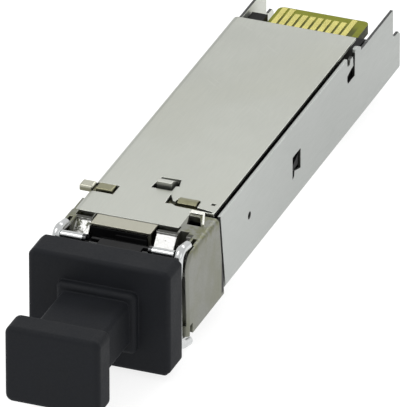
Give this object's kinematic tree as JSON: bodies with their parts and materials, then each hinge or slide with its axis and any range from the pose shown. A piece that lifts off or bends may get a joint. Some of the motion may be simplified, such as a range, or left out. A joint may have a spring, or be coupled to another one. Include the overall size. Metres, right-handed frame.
{
  "type": "optical transceiver module",
  "caption": "Slim metal-cased pluggable optical transceiver with a card edge at the rear, a bail latch and a rubber dust plug in its duplex port.",
  "frame": {"origin": "on the label face, on the centre line, directly under the shoulder of the latch boss", "axes": "+Y along the module from the optical end to the card edge, +Z from the label face towards the latch face, +X to the right seen from the optical end with the latch face up"},
  "size_m": [0.0149, 0.0741, 0.0115],
  "materials": {
    "cover_metal": "satin nickel-plated sheet",
    "shell_metal": "satin nickel-plated sheet",
    "label_paper": "blank matt film label",
    "nose_casting": "nickel-plated die casting",
    "clip_metal": "bright spring sheet",
    "receptacle_plastic": "black moulded plastic",
    "sleeve_metal": "ground sleeve",
    "optic_metal": "turned steel",
    "can_metal": "gold-plated can",
    "flex_film": "amber polyimide film",
    "clamp_metal": "stamped sheet",
    "screw_metal": "plated steel",
    "board_laminate": "green-yellow solder mask over laminate",
    "contact_gold": "hard gold plating",
    "chip_plastic": "moulded package",
    "passive_ceramic": "ceramic with tinned ends",
    "tray_plastic": "black moulded plastic",
    "boss_metal": "pressed steel",
    "collar_metal": "thin spring sheet, yellowed plating",
    "slider_plastic": "black moulded plastic",
    "lip_metal": "pressed sheet",
    "bail_steel": "polished wire",
    "spring_steel": "drawn spring wire",
    "plug_rubber": "moulded matt rubber"
  },
  "bodies": {
    "module": {"latch_side_cover": "cover_metal", "label_side_shell": "shell_metal", "blank_label": "label_paper", "nose_housing": "nose_casting", "grounding_clip": "clip_metal", "lc_receptacle": "receptacle_plastic", "transmit_sleeve": "sleeve_metal", "transmit_body": "optic_metal", "transmit_can": "can_metal", "transmit_flex": "flex_film", "receive_sleeve": "sleeve_metal", "receive_body": "optic_metal", "receive_can": "can_metal", "receive_flex": "flex_film", "optics_clamp": "clamp_metal", "clamp_screws": "screw_metal", "circuit_board": "board_laminate", "latch_side_contacts": "contact_gold", "label_side_contacts": "contact_gold", "laser_driver": "chip_plastic", "receive_amplifier": "chip_plastic", "controller": "chip_plastic", "passives": "passive_ceramic", "inner_tray": "tray_plastic", "latch_boss": "boss_metal", "grounding_collar": "collar_metal", "slider_spring": "spring_steel", "spring_anchor": "clamp_metal"},
    "bail": {"bail_wire": "bail_steel", "bail_cranks": "bail_steel"},
    "slider": {"delatch_slider": "slider_plastic", "slider_lip": "lip_metal"},
    "plug": {"dust_plug": "plug_rubber"}
  },
  "joints": [
    {"name": "bail_swing", "type": "hinge", "parent": "module", "child": "bail", "pos_m": [0, -0.0124, 0.00875], "axis": [-1, 0, 0], "range_deg": [0, 90]},
    {"name": "slider_travel", "type": "slide", "parent": "module", "child": "slider", "axis": [0, -1, 0], "range_m": [0, 0.0012], "deforming": ["slider_spring"]},
    {"name": "plug_pull", "type": "slide", "parent": "module", "child": "plug", "axis": [0, -1, 0], "range_m": [0, 0.022]}
  ],
  "couplings": [
    {"joint": "slider_travel", "follows": "plug_pull", "ratio": 0.054545},
    {"joint": "bail_swing", "follows": "plug_pull", "rad_per_m": 71.4}
  ]
}
